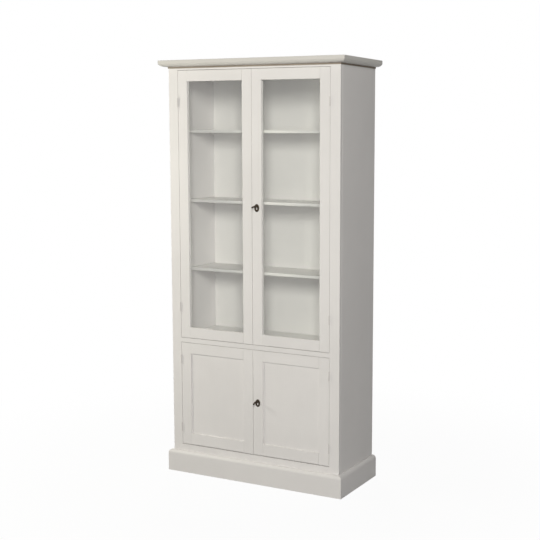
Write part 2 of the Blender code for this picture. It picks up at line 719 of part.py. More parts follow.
def hinge_mesh(kind, side):
    """Mesh of one hinge half about the pin's axis. side is -1 where the frame is to the left of the door."""
    half = HINGE_LENGTH / 2
    third = HINGE_LENGTH / 3
    toward_frame = side if kind == "frame_leaf" else -side
    inner = FIT / 2
    near, far = sorted((toward_frame * inner, toward_frame * (inner + HINGE_LEAF)))
    behind = HINGE_BARREL + 2 * FIT
    bm = box((near, behind, -half), (far, HINGE_BARREL + HINGE_LEAF_DEPTH, half))
    body = place(kind + "_plate", bm, "painted_hinge")
    if kind == "frame_leaf":
        spans = ((-half, -third / 2 - FIT), (third / 2 + FIT, half))
    else:
        spans = ((-third / 2, third / 2),)
    for number, (low, high) in enumerate(spans):
        knuckle = bmesh.new()
        add_rod(knuckle, (0.0, 0.0, (low + high) / 2), HINGE_BARREL, high - low, "Z", 12)
        boolean(body, helper("knuckle_%s_%d" % (kind, number), knuckle), "UNION")
        web = box((near, HINGE_BORE + 2 * FIT, low), (far, behind + FIT, high))
        boolean(body, helper("web_%s_%d" % (kind, number), web), "UNION")
    rod = bmesh.new()
    if kind == "frame_leaf":
        add_rod(rod, (0.0, 0.0, 0.0), HINGE_PIN, HINGE_LENGTH - 2 * FIT, "Z", 12)
        boolean(body, helper("pin_" + kind, rod), "UNION")
    else:
        add_rod(rod, (0.0, 0.0, 0.0), HINGE_BORE, HINGE_LENGTH, "Z", 12)
        boolean(body, helper("bore_" + kind, rod), "DIFFERENCE")
    bpy.context.view_layer.update()
    mesh = bpy.data.meshes.new_from_object(body.evaluated_get(bpy.context.evaluated_depsgraph_get()))
    for item in [body] + [step.object for step in body.modifiers]:
        bpy.data.objects.remove(item)
    mesh.name = "hinge_%s_%s" % (kind, "left" if side < 0 else "right")


def place_hinge(label, side, height):
    for kind in ("frame_leaf", "door_leaf"):
        mesh = bpy.data.meshes["hinge_%s_%s" % (kind, "left" if side < 0 else "right")]
        leaf = bpy.data.objects.new("hinge_" + label + "_" + kind, mesh)
        leaf.location = (side * HINGE_AXIS_X, HINGE_AXIS_Y, height)
        bpy.context.scene.collection.objects.link(leaf)


def shade(mesh):
    """Shades round faces smooth and keeps every corner sharper than the limit."""
    mesh.shade_smooth()
    mesh.set_sharp_from_angle(angle=SMOOTH_UP_TO)


def finish_pieces():
    """Applies the Booleans, takes their cutters away and shades the pieces."""
    bpy.context.view_layer.update()
    depsgraph = bpy.context.evaluated_depsgraph_get()
    pieces = [item for item in bpy.context.scene.objects if not item.hide_render]
    cut = [item for item in pieces if item.modifiers]
    meshes = [bpy.data.meshes.new_from_object(item.evaluated_get(depsgraph)) for item in cut]
    for item, mesh in zip(cut, meshes):
        helpers = [step.object for step in item.modifiers]
        item.modifiers.clear()
        item.data = mesh
        mesh.name = item.name
        for other in helpers:
            bpy.data.objects.remove(other)
    for mesh in {item.data for item in pieces}:
        shade(mesh)


def build():
    clear_scene()
    make_side_panels()
    make_decks_and_shelves()
    make_back_panel()
    make_face_frame()
    make_top_board()
    make_plinth()
    for side in (-1, 1):
        for kind in ("frame_leaf", "door_leaf"):
            hinge_mesh(kind, side)
        for level in ("upper", "lower"):
            make_door(level, side)
    finish_pieces()


build()
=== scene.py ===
import json
import math

import bmesh
import bpy
from mathutils import Matrix, Vector

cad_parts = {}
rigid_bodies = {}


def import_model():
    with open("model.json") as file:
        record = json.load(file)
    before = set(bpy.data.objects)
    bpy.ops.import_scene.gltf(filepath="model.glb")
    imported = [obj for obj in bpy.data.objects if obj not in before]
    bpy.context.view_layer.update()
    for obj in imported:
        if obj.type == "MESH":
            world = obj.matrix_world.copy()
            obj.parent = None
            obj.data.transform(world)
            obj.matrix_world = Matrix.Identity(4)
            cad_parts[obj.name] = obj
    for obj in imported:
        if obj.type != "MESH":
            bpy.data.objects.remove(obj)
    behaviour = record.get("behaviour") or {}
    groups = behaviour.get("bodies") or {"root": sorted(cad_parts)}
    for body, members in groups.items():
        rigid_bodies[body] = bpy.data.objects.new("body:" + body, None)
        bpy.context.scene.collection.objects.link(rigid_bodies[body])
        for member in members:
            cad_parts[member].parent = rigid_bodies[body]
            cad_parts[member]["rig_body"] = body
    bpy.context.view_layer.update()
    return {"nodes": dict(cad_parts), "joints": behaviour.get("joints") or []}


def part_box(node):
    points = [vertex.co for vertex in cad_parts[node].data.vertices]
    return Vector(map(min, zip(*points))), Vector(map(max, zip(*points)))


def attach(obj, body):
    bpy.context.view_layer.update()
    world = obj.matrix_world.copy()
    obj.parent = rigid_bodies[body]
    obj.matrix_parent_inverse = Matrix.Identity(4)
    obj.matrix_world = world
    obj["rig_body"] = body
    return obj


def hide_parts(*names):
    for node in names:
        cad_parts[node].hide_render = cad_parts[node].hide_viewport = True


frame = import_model()
nodes = frame["nodes"]
joints = {joint["name"]: joint for joint in frame["joints"]}
print("frame loaded:", len(nodes), "parts")

levels = ("upper", "lower")
sides = ((-1, "left"), (1, "right"))
perMetre = 1000  # millimetres
sameSpot = 1e-6  # points closer than this are one
samePlane = 1e-5  # and points closer to a flat than this lie in it
sameFlat = 1.0  # degrees that faces of one flat may differ by
squareCorner = 60.0  # degrees that two faces turn at least at a square edge

# fitted to the photo's straight edges
cameraSetup = {
    "place": (2.549635, -4.313273, 1.652330),
    "turn": 26.168088,  # degrees left of the cabinet's depth
    "tilt": -7.306876,
    "roll": 0.340210,
    "focal": 1046.91,  # in pixels of the frame
    "frame": 540,
    "lookAt": 350,  # column that the lens looks straight at
    "film": 36.0,
    "clip": (0.05, 100.0),
}


def placeCamera(setup):
    lens = bpy.data.cameras.new("camera")
    lens.sensor_width = setup["film"]
    lens.lens = setup["focal"] / setup["frame"] * setup["film"]
    lens.shift_x = (setup["frame"] / 2 - setup["lookAt"]) / setup["frame"]
    lens.clip_start, lens.clip_end = setup["clip"]
    turn, tilt, roll = (math.radians(setup[key]) for key in ("turn", "tilt", "roll"))
    level = math.cos(tilt)
    ahead = Vector((-math.sin(turn) * level, math.cos(turn) * level, math.sin(tilt)))
    right = Vector((math.cos(turn), math.sin(turn), 0.0))
    up = right.cross(ahead)
    side = right * math.cos(roll) + up * math.sin(roll)
    over = up * math.cos(roll) - right * math.sin(roll)
    facing = Matrix((side, over, -ahead)).transposed().to_4x4()
    eye = bpy.data.objects.new("camera", lens)
    eye.matrix_world = Matrix.Translation(setup["place"]) @ facing
    bpy.context.scene.collection.objects.link(eye)
    bpy.context.scene.camera = eye


lamps = {
    "warmLeft": {  # near the cabinet, so that it fades across the doors
        "place": (-2.20, -1.30, 1.60),
        "aim": (-0.20, -0.16, 1.30),
        "size": (0.6, 0.6),
        "power": 30.0,
        "colour": (1.0, 0.980, 0.850),
    },
    "key": {  # throws the soft bands under the rails and shelves
        "place": (2.44, -4.28, 2.88),
        "aim": (0.0, -0.05, 1.10),
        "size": (1.2, 1.2),
        "power": 140.0,
        "colour": (1.0, 0.985, 0.920),
    },
    "lowSoft": {  # softens the shadows on the inside walls
        "place": (2.59, -4.54, 1.55),
        "aim": (0.0, -0.05, 1.10),
        "size": (1.2, 1.2),
        "power": 47.0,
        "colour": (1.0, 1.0, 1.0),
    },
    "behind": {  # shows the back and the left side, and reaches nothing that faces forward
        "place": (-2.50, 3.60, 2.30),
        "aim": (0.0, 0.20, 1.00),
        "size": (1.4, 1.4),
        "power": 105.0,
        "colour": (1.0, 0.985, 0.955),
    },
}


def placeLamps():
    for name, setup in lamps.items():
        lamp = bpy.data.lights.new(name, "AREA")
        lamp.shape = "RECTANGLE"
        lamp.size, lamp.size_y = setup["size"]
        lamp.energy = setup["power"]
        lamp.color = setup["colour"]
        holder = bpy.data.objects.new(name, lamp)
        holder.location = setup["place"]
        way = Vector(setup["aim"]) - Vector(setup["place"])
        holder.rotation_euler = way.to_track_quat("-Z", "Y").to_euler()
        holder.visible_camera = False
        bpy.context.scene.collection.objects.link(holder)
    print("lamps:", len(lamps))


class Flow:
    # a socket that sums and products can be written with
    def __init__(self, finish, socket):
        self.finish = finish
        self.socket = socket

    def __add__(self, other):
        return self.finish.maths("ADD", self, other)

    __radd__ = __add__

    def __sub__(self, other):
        return self.finish.maths("SUBTRACT", self, other)

    def __rsub__(self, other):
        return self.finish.maths("SUBTRACT", other, self)

    def __mul__(self, other):
        return self.finish.maths("MULTIPLY", self, other)

    __rmul__ = __mul__

    def __lt__(self, other):
        return self.finish.maths("LESS_THAN", self, other)


class Finish:
    # a material, or the world, whose nodes are made as its formula is written
    def __init__(self, name, tree=None):
        if tree is None:
            self.made = bpy.data.materials.new(name)
            self.made.use_nodes = True
            tree = self.made.node_tree
        self.tree = tree
        tree.nodes.clear()

    def node(self, kind, settings=(), sockets=(), out=0):
        made = self.tree.nodes.new("ShaderNode" + kind)
        for name, value in dict(settings).items():
            setattr(made, name, value)
        for name, value in dict(sockets).items():
            if isinstance(value, Flow):
                self.tree.links.new(value.socket, made.inputs[name])
            else:
                made.inputs[name].default_value = value
        return Flow(self, made.outputs[out]) if made.outputs else made

    def maths(self, operation, first, second, clamp=False):
        settings = {"operation": operation, "use_clamp": clamp}
        return self.node("Math", settings, {0: first, 1: second})

    def mix(self, share, first, second):
        colours = [value if isinstance(value, Flow) else (*value, 1.0) for value in (first, second)]
        sockets = {0: share, 6: colours[0], 7: colours[1]}
        return self.node("Mix", {"data_type": "RGBA"}, sockets, 2)

    def spots(self, scale=(1.0, 1.0, 1.0), shift=(0.0, 0.0, 0.0)):
        coords = self.node("TexCoord", out="Object")
        return self.node("Mapping", {}, {"Vector": coords, "Scale": scale, "Location": shift})

    def noise(self, at, scale, detail, roughness=0.5):
        sockets = {"Vector": at, "Scale": scale, "Detail": detail, "Roughness": roughness}
        return self.node("TexNoise", {}, sockets, "Fac")

    def cells(self, at, scale):
        return self.node("TexVoronoi", {}, {"Vector": at, "Scale": scale}, "Distance")

    def arris(self):
        return self.node("Attribute", {"attribute_name": "arris"}, out="Fac")

    def step(self, value, low, high):
        settings = {"interpolation_type": "SMOOTHSTEP"}
        return self.node("MapRange", settings, {0: value, 1: low, 2: high})

    def bump(self, height, strength, distance):
        sockets = {"Height": height, "Strength": strength, "Distance": distance}
        return self.node("Bump", {}, sockets)

    def principled(self, sockets):
        return self.node("BsdfPrincipled", {}, sockets)

    def close(self, surface):
        self.node("OutputMaterial", {}, {"Surface": surface})
        return self.made


noiseMiddle = 0.5  # what a noise is on average

paintLooks = {
    "cream": {
        "slot": "cream_paint",
        "colour": (0.800, 0.776, 0.772),
        "shade": (0.768, 0.745, 0.741),
        "worn": (0.700, 0.655, 0.590),
        "roughness": 0.43,
    },
    # painted shade: the cream paint made darker for the top board, standing in for the shade on its
    # edge and moulding
    "top": {
        "slot": "cream_paint",
        "colour": (0.680, 0.656, 0.626),
        "shade": (0.652, 0.630, 0.600),
        "worn": (0.620, 0.580, 0.520),
        "roughness": 0.45,
    },
    "bare": {  # painted shadow: a dark brown colour that stands in for the shade under the top's moulding
        "slot": "cream_paint",
        "colour": (0.340, 0.290, 0.240),
        "shade": (0.270, 0.225, 0.180),
        "worn": (0.420, 0.360, 0.300),
        "roughness": 0.70,
    },
    "hinge": {  # painted shade: darker than the cream, and near black on the marked knuckle rims, for the shade round the hinges
        "slot": "painted_hinge",
        "colour": (0.700, 0.675, 0.665),
        "shade": (0.655, 0.630, 0.620),
        # the near-black painted shade for the knuckles' rims
        "worn": (0.330, 0.305, 0.280),
        "roughness": 0.45,
    },
    "inner": {
        "slot": "inner_paint",
        "colour": (0.835, 0.818, 0.798),
        "shade": (0.803, 0.787, 0.767),
        "worn": (0.700, 0.680, 0.640),
        "roughness": 0.50,
    },
}
# noises are given as scale, detail and roughness
paintDetail = {
    "strokes": (420.0, 3.0, 0.6),  # brush lines across a board
    "strokeStretch": 0.018,
    "grain": (95.0, 4.0, 0.55),  # wood grain that shows through the paint
    "grainStretch": 0.05,
    "drift": (2.3, 2.0),
    "cloud": (11.0, 3.0),
    "peel": (1500.0, 1.0),
    "nibs": 170.0,
    "nibSpan": (0.02, 0.10),
    "rub": (38.0, 4.0, 0.65),
    "rubSpan": (0.50, 0.72),
    "leastRub": 0.25,
    "wear": 0.45,
    "tone": (0.55, 0.25, 0.20),  # shares of drift, cloud and strokes
    "toneSpan": (0.36, 0.62),
    "gloss": (0.16, 0.10, 0.12),  # what strokes, clouds and arrises do to the roughness
    "relief": (0.45, 0.35, 0.12, 0.25),  # shares of strokes, grain, peel and nibs
    "bump": (0.15, 0.0004),  # strength and depth
    "shine": 0.35,
}
stretchAlong = {"X": 0, "Y": 1, "Z": 2}
grainStep = (0.37, 0.23, 0.61)  # from one board's piece of the grain to the next one's


def grainFields(finish, along, shift):
    fields = []
    for name, stretch in (("strokes", "strokeStretch"), ("grain", "grainStretch")):
        scale = [1.0, 1.0, 1.0]
        scale[stretchAlong[along]] = paintDetail[stretch]
        fields.append(finish.noise(finish.spots(scale, shift), *paintDetail[name]))
    return fields


def makePaint(look, along, shift, railsFrom):
    setup = paintLooks[look]
    detail = paintDetail
    finish = Finish(look + "Paint" + along + ("Frame" if railsFrom else ""))
    strokes, grain = grainFields(finish, along, shift)
    if railsFrom:  # the face frame's rails have their grain across the stiles'
        across, acrossGrain = grainFields(finish, "X", shift)
        place = finish.node("SeparateXYZ", {}, {0: finish.node("TexCoord", out="Object")})
        inRails = finish.node("Math", {"operation": "ABSOLUTE"}, {0: place}) < railsFrom
        strokes = strokes + (across - strokes) * inRails
        grain = grain + (acrossGrain - grain) * inRails
    plain = finish.spots((1.0, 1.0, 1.0), shift)
    drift = finish.noise(plain, *detail["drift"])
    cloud = finish.noise(plain, *detail["cloud"])
    peel = finish.noise(plain, *detail["peel"])
    nibs = 1.0 - finish.step(finish.cells(plain, detail["nibs"]), *detail["nibSpan"])
    arris = finish.arris()
    rubbed = finish.step(finish.noise(plain, *detail["rub"]), *detail["rubSpan"])
    wear = arris * (detail["leastRub"] + (1.0 - detail["leastRub"]) * rubbed)
    slow, patchy, brushed = detail["tone"]
    tone = finish.step(slow * drift + patchy * cloud + brushed * strokes, *detail["toneSpan"])
    colour = finish.mix(tone, setup["shade"], setup["colour"])
    # the worn colour goes on the marked arrises; in the hinge look it is painted shade
    colour = finish.mix(wear * detail["wear"], colour, setup["worn"])
    byStroke, byCloud, byArris = detail["gloss"]
    roughness = setup["roughness"] + (strokes - noiseMiddle) * byStroke
    roughness = roughness + (cloud - noiseMiddle) * byCloud - arris * byArris
    ofStrokes, ofGrain, ofPeel, ofNibs = detail["relief"]
    height = strokes * ofStrokes + grain * ofGrain + peel * ofPeel + nibs * ofNibs
    shader = finish.principled(
        {
            "Base Color": colour,
            "Roughness": roughness,
            "Specular IOR Level": detail["shine"],
            "Normal": finish.bump(height, *detail["bump"]),
        }
    )
    return finish.close(shader)


paints = {}


def paintFor(look, along, shift=0, railsFrom=None):
    # a slot and its material, made once for each look and direction of the grain
    key = (look, along, shift, bool(railsFrom))
    if key not in paints:
        moved = tuple(step * shift for step in grainStep)
        paints[key] = (paintLooks[look]["slot"], makePaint(look, along, moved, railsFrom))
    return paints[key]


metalLooks = {
    "darkBronze": {
        "slot": "dark_bronze",
        "colour": (0.070, 0.052, 0.036),
        "shade": (0.030, 0.022, 0.016),
        "worn": (0.260, 0.190, 0.120),
        "roughness": 0.38,
        "metallic": 0.85,
        "brushed": (1.0, 1.0, 1.0),
        "scale": 420.0,
    },
    "lockSteel": {
        "slot": "lock_steel",
        "colour": (0.480, 0.465, 0.440),
        "shade": (0.360, 0.345, 0.320),
        "worn": (0.640, 0.625, 0.600),
        "roughness": 0.36,
        "metallic": 1.0,
        "brushed": (0.05, 1.0, 1.0),
        "scale": 900.0,
    },
    "paleNickel": {
        "slot": "lock_steel",
        "colour": (0.720, 0.700, 0.660),
        "shade": (0.600, 0.580, 0.540),
        "worn": (0.820, 0.800, 0.760),
        "roughness": 0.45,
        "metallic": 0.6,
        "brushed": (1.0, 1.0, 0.1),
        "scale": 700.0,
    },
    "catchBrass": {
        "slot": "catch_brass",
        "colour": (0.620, 0.480, 0.220),
        "shade": (0.450, 0.330, 0.140),
        "worn": (0.780, 0.640, 0.360),
        "roughness": 0.32,
        "metallic": 1.0,
        "brushed": (1.0, 1.0, 0.08),
        "scale": 800.0,
    },
}
metalDetail = {
    "lines": (3.0, 0.6),
    "patches": (130.0, 3.0, 0.6),
    "pits": 900.0,
    "pitSpan": (0.0, 0.2),
    "span": (0.35, 0.65),
    "tone": (0.6, 0.4),  # shares of patches and lines
    "wear": 0.7,
    "gloss": (0.2, 0.2, 0.1),  # what lines, patches and wear do to the roughness
    "relief": (0.6, 0.4),  # shares of lines and pits
    "bump": (0.25, 0.0002),
}


def makeMetal(look):
    setup = metalLooks[look]
    detail = metalDetail
    finish = Finish(look)
    lines = finish.noise(finish.spots(setup["brushed"]), setup["scale"], *detail["lines"])
    plain = finish.spots()
    patches = finish.noise(plain, *detail["patches"])
    pits = finish.cells(plain, detail["pits"])
    wear = finish.arris() * finish.step(patches, *detail["span"])
    patchy, lined = detail["tone"]
    tone = finish.step(patchy * patches + lined * lines, *detail["span"])
    colour = finish.mix(tone, setup["shade"], setup["colour"])
    colour = finish.mix(wear * detail["wear"], colour, setup["worn"])
    byLine, byPatch, byWear = detail["gloss"]
    roughness = setup["roughness"] + (lines - noiseMiddle) * byLine
    roughness = roughness + (patches - noiseMiddle) * byPatch - wear * byWear
    ofLines, ofPits = detail["relief"]
    height = lines * ofLines + finish.step(pits, *detail["pitSpan"]) * ofPits
    shader = finish.principled(
        {
            "Base Color": colour,
            "Metallic": setup["metallic"],
            "Roughness": roughness,
            "Normal": finish.bump(height, *detail["bump"]),
        }
    )
    return setup["slot"], finish.close(shader)


glassLook = {
    "clear": (0.990, 0.995, 0.992),
    "gloss": (1.0, 1.0, 1.0),
    "straight": 0.04,  # what it mirrors when seen square on
    "falloff": 5.0,
    "blend": 0.5,
    "roughness": 0.025,
    "film": 0.012,  # haze of dust and wiped marks
    "filmRoughness": 0.06,
    "smear": (9.0, 4.0, 0.6),
    "smearStretch": (1.0, 1.0, 0.35),
    "smearSpan": (0.45, 0.80),
    "streak": (60.0, 2.0),
    "streakStretch": (1.0, 1.0, 0.06),
    "streakSpan": (0.35, 0.75),
}


def makeGlass():
    look = glassLook
    finish = Finish("clearGlass")
    smear = finish.noise(finish.spots(look["smearStretch"]), *look["smear"])
    streak = finish.noise(finish.spots(look["streakStretch"]), *look["streak"])
    haze = finish.step(smear, *look["smearSpan"]) * finish.step(streak, *look["streakSpan"])
    facing = finish.node("LayerWeight", {}, {"Blend": look["blend"]}, "Facing")
    straight = look["straight"]
    rim = straight + (1.0 - straight) * finish.maths("POWER", facing, look["falloff"])
    gloss = finish.principled(
        {
            "Base Color": (*look["gloss"], 1.0),
            "Metallic": 1.0,
            "Roughness": look["roughness"] + haze * look["filmRoughness"],
        }
    )
    clear = finish.node("BsdfTransparent", {}, {"Color": (*look["clear"], 1.0)})
    share = finish.maths("ADD", rim, haze * look["film"], True)
    return finish.close(finish.node("MixShader", {}, {0: share, 1: clear, 2: gloss}))


floorLook = {
    "size": 30.0,
    "pale": (0.80, 0.80, 0.80),
    "dim": (0.30, 0.30, 0.30),  # what it throws back up at the cabinet
    "mottle": 0.012,
    "mottleNoise": (3.0, 3.0),
    "roughness": 0.9,
    "shine": 0.1,
    "shadowShare": 0.05,  # how much of the lit floor shows through its white
    "shadowReach": (0.7, 2.2),
}
worldLook = {"fill": (0.010, 0.010, 0.010), "white": (1.0, 1.0, 1.0)}


def seenDirectly(finish):
    # camera, mirror and see-through rays meet a white studio
    total = None
    for ray in ("Is Camera Ray", "Is Glossy Ray", "Is Transmission Ray"):
        flag = finish.node("LightPath", out=ray)
        total = flag if total is None else finish.maths("MAXIMUM", total, flag)
    return total


def makeStudio():
    white = worldLook["white"]
    bm = bmesh.new()
    bmesh.ops.create_grid(bm, x_segments=1, y_segments=1, size=floorLook["size"])
    mesh = bpy.data.meshes.new("floor")
    bm.to_mesh(mesh)
    bm.free()
    floor = bpy.data.objects.new("floor", mesh)
    bpy.context.scene.collection.objects.link(floor)
    finish = Finish("paleFloor")
    spot = finish.node("TexCoord", out="Object")
    away = finish.node("VectorMath", {"operation": "LENGTH"}, {0: spot}, "Value")
    near = 1.0 - finish.step(away, *floorLook["shadowReach"])
    bounced = finish.node("LightPath", out="Is Diffuse Ray")
    mottle = finish.noise(spot, *floorLook["mottleNoise"]) * floorLook["mottle"]
    colour = finish.mix(bounced, floorLook["pale"], floorLook["dim"])
    lit = finish.principled(
        {
            "Base Color": finish.mix(mottle, colour, white),
            "Roughness": floorLook["roughness"],
            "Specular IOR Level": floorLook["shine"],
        }
    )
    glow = finish.node("Emission", {}, {"Color": (*white, 1.0), "Strength": 1.0})
    share = seenDirectly(finish) * (1.0 - near * floorLook["shadowShare"])
    blend = finish.node("MixShader", {}, {0: share, 1: lit, 2: glow})
    floor.data.materials.append(finish.close(blend))

    world = bpy.data.worlds.new("studio")
    world.use_nodes = True
    bpy.context.scene.world = world
    sky = Finish("studio", world.node_tree)
    colour = sky.mix(seenDirectly(sky), worldLook["fill"], white)
    glow = sky.node("Background", {}, {"Color": colour, "Strength": 1.0})
    sky.node("OutputWorld", {}, {"Surface": glow})


def addBox(bm, middle, size, turn=Matrix()):
    shape = Matrix.Translation(middle) @ turn @ Matrix.Diagonal((*size, 1.0))
    bmesh.ops.create_cube(bm, size=1.0, matrix=shape)


def newCube(low, high):
    bm = bmesh.new()
    size = [high[i] - low[i] for i in range(3)]
    middle = [(high[i] + low[i]) / 2 for i in range(3)]
    addBox(bm, middle, size)
    return bm


rodTurns = {
    "X": Matrix.Rotation(math.pi / 2, 4, "Y"),
    "Y": Matrix.Rotation(-math.pi / 2, 4, "X"),
    "Z": Matrix(),
}


def addRod(bm, centre, radius, length, axis, around, tip=None):
    bmesh.ops.create_cone(
        bm,
        cap_ends=True,
        segments=around,
        radius1=radius,
        radius2=radius if tip is None else tip,
        depth=length,
        matrix=Matrix.Translation(centre) @ rodTurns[axis],
    )


def addDome(bm, centre, radii, around, rows):
    made = bmesh.ops.create_uvsphere(bm, u_segments=around, v_segments=rows, radius=1.0)
    shape = Matrix.Translation(centre) @ Matrix.Diagonal((*radii, 1.0))
    bmesh.ops.transform(bm, verts=made["verts"], matrix=shape)


def spinRound(bm, geometry, axis, steps):
    # a full turn about an axis through the origin, closed into a solid
    bmesh.ops.spin(
        bm,
        geom=geometry,
        cent=(0, 0, 0),
        axis=axis,
        angle=2 * math.pi,
        steps=steps,
        use_merge=True,
    )
    bmesh.ops.remove_doubles(bm, verts=bm.verts, dist=sameSpot)
    bmesh.ops.recalc_face_normals(bm, faces=bm.faces)


def turnedShape(points, axis, steps):
    # turned from an outline in metres
    bm = bmesh.new()
    verts = [bm.verts.new(point) for point in points]
    edges = [bm.edges.new(pair) for pair in zip(verts, verts[1:])]
    spinRound(bm, verts + edges, axis, steps)
    return bm


def spanOf(edge, axis):
    return abs(edge.verts[0].co[axis] - edge.verts[1].co[axis])


def liesAt(edge, axis, value, within=sameSpot):
    return all(abs(vert.co[axis] - value) < within for vert in edge.verts)


def roundEdges(bm, edges, width, steps, worn=1.0):
    # bevels edges and marks the new faces as arris, for the wear in the finish and for the painted
    # shade on the hinges' knuckle rims
    layer = bm.faces.layers.float.get("arris") or bm.faces.layers.float.new("arris")
    made = bmesh.ops.bevel(
        bm,
        geom=edges,
        offset=width,
        offset_type="OFFSET",
        segments=steps,
        profile=0.5,
        affect="EDGES",
        material=-1,
        clamp_overlap=True,
    )
    for face in made["faces"]:
        face[layer] = worn


def sharpEdges(bm, least=squareCorner, shortest=0.0, most=180.0):
    return [
        edge
        for edge in bm.edges
        if edge.is_manifold
        and edge.is_convex
        and math.radians(least) < edge.calc_face_angle(0.0) < math.radians(most)
        and edge.calc_length() > shortest
    ]


def asMesh(bm, name):
    mesh = bpy.data.meshes.new(name)
    bm.to_mesh(mesh)
    bm.free()
    return mesh


def combine(target, others, name, operation="DIFFERENCE"):
    # cuts the others away from the target, or joins them to it, and gives the new shape
    made = bpy.data.objects.new(name + ".work", asMesh(target, name))
    bpy.context.scene.collection.objects.link(made)
    helpers = []
    for number, other in enumerate(others):
        helper = bpy.data.objects.new("helper%d" % number, asMesh(other, "helper"))
        bpy.context.scene.collection.objects.link(helper)
        step = made.modifiers.new("Combine", "BOOLEAN")
        step.operation = operation
        step.solver = "EXACT"
        step.object = helper
        helpers.append(helper)
    bpy.context.view_layer.update()
    worked = made.evaluated_get(bpy.context.evaluated_depsgraph_get())
    result = bpy.data.meshes.new_from_object(worked)
    bm = bmesh.new()
    bm.from_mesh(result)
    for thing in [made] + helpers:
        bpy.data.objects.remove(thing)
    bpy.data.meshes.remove(result)
    return bm


smoothing = {"upTo": 35.0, "rounded": 0.05}  # degrees, and the least wear of a rounded face


def keepFlatsFlat(mesh):
    # a flat beside a rounded edge isn't smoothed into it
    marks = mesh.attributes.get("arris")
    if marks is None or marks.domain != "FACE":
        return
    rounded = [item.value > smoothing["rounded"] for item in marks.data]
    pairs = {}
    for face in mesh.polygons:
        for key in face.edge_keys:
            pairs.setdefault(key, []).append(rounded[face.index])
    for edge in mesh.edges:
        beside = pairs.get(tuple(sorted(edge.vertices)), [])
        if len(beside) == 2 and beside[0] != beside[1]:
            edge.use_edge_sharp = True


def finishPiece(name, bm, body, finish, standsFor=()):
    slot, material = finish
    mesh = asMesh(bm, name)
    mesh.materials.append(material)
    mesh.shade_smooth()
    mesh.set_sharp_from_angle(angle=math.radians(smoothing["upTo"]))
    keepFlatsFlat(mesh)
    piece = bpy.data.objects.new(name, mesh)
    bpy.context.scene.collection.objects.link(piece)
    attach(piece, body)
    if standsFor:
        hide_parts(*standsFor)


def bodyOf(node):
    return nodes[node]["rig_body"]


boards = {
    "roundSquare": 0.0010,  # rounding of square edges
    "roundEased": 0.00030,  # rounding of edges that the joiner has already eased
    "easedFrom": 30.0,
    "steps": 2,
    "shortest": 0.012,
    "roundSight": 0.0030,  # long edges round the glass and the panels
    "sightFrom": 80.0,
    "sightSteps": 5,
    "sightWorn": 0.4,
    "long": 0.15,
}
# grain direction and shift of each board
doorBoards = {
    "hinge_stile": ("Z", 0),
    "meeting_stile": ("Z", 3),
    "top_rail": ("X", 1),
    "bottom_rail": ("X", 2),
    "panel": ("Z", 2),
}
innerBoards = {
    "middle_deck": ("X", 0),
    "bottom_deck": ("X", 1),
    "shelf_top": ("X", 2),
    "shelf_middle": ("X", 0),
    "shelf_bottom": ("X", 1),
    "cupboard_shelf": ("X", 2),
}


def copyOf(node):
    # the CAD part as a merged shape
    bm = bmesh.new()
    bm.from_mesh(nodes[node].data)
    bmesh.ops.remove_doubles(bm, verts=bm.verts, dist=sameSpot)
    flat = math.radians(sameFlat)
    bmesh.ops.dissolve_limit(bm, angle_limit=flat, verts=bm.verts, edges=bm.edges)
    return bm


def boardFromPart(node, look, along, shift, railsFrom=None):
    # a copy of the plain board, with its arrises rounded over
    bm = copyOf(node)
    front = min(vert.co.y for vert in bm.verts)
    if node.endswith(("stile", "rail")):
        sight = sharpEdges(bm, boards["sightFrom"], boards["long"])
        sight = [edge for edge in sight if liesAt(edge, 1, front, samePlane)]
        roundEdges(bm, sight, boards["roundSight"], boards["sightSteps"], boards["sightWorn"])
    eased = sharpEdges(bm, boards["easedFrom"], boards["shortest"], squareCorner)
    roundEdges(bm, eased, boards["roundEased"], boards["steps"])
    square = sharpEdges(bm, squareCorner, boards["shortest"])
    roundEdges(bm, square, boards["roundSquare"], boards["steps"])
    finish = paintFor(look, along, shift, railsFrom)
    finishPiece(node + "_painted", bm, bodyOf(node), finish, [node])


def makeBoards():
    made = [("side_panel_left", "cream", "Z", 1), ("side_panel_right", "cream", "Z", 2)]
    for level in levels:
        for _, label in sides:
            for part, (along, shift) in doorBoards.items():
                node = "%s_%s_%s" % (level, label, part)
                if node in nodes:  # the glazed doors have no panel
                    made.append((node, "cream", along, shift))
    for node, (along, shift) in innerBoards.items():
        made.append((node, "inner", along, shift))
    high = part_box("upper_right_hinge_stile")[1]
    made.append(("face_frame", "cream", "Z", 0, high.x))
    for board in made:
        boardFromPart(*board)
    print("boards rounded over:", len(made))


topBoard = {
    "band": 0.0175,  # height of the flat edge
    "eased": 0.0014,
    "easedSteps": 3,
    "easedWorn": 0.3,
    "drop": 0.0180,  # the quarter oval under it
    "reach": 0.026,
    "steps": 14,
    "ovalWorn": 0.15,
    "overlap": 0.001,  # of the oval into the band
    "quirk": 0.0075,  # height of the set-back strip under the oval
    "strip": 0.0025,  # how far the strip stands out of the frame
    "overrun": 0.01,
    "fit": 0.0003,
}


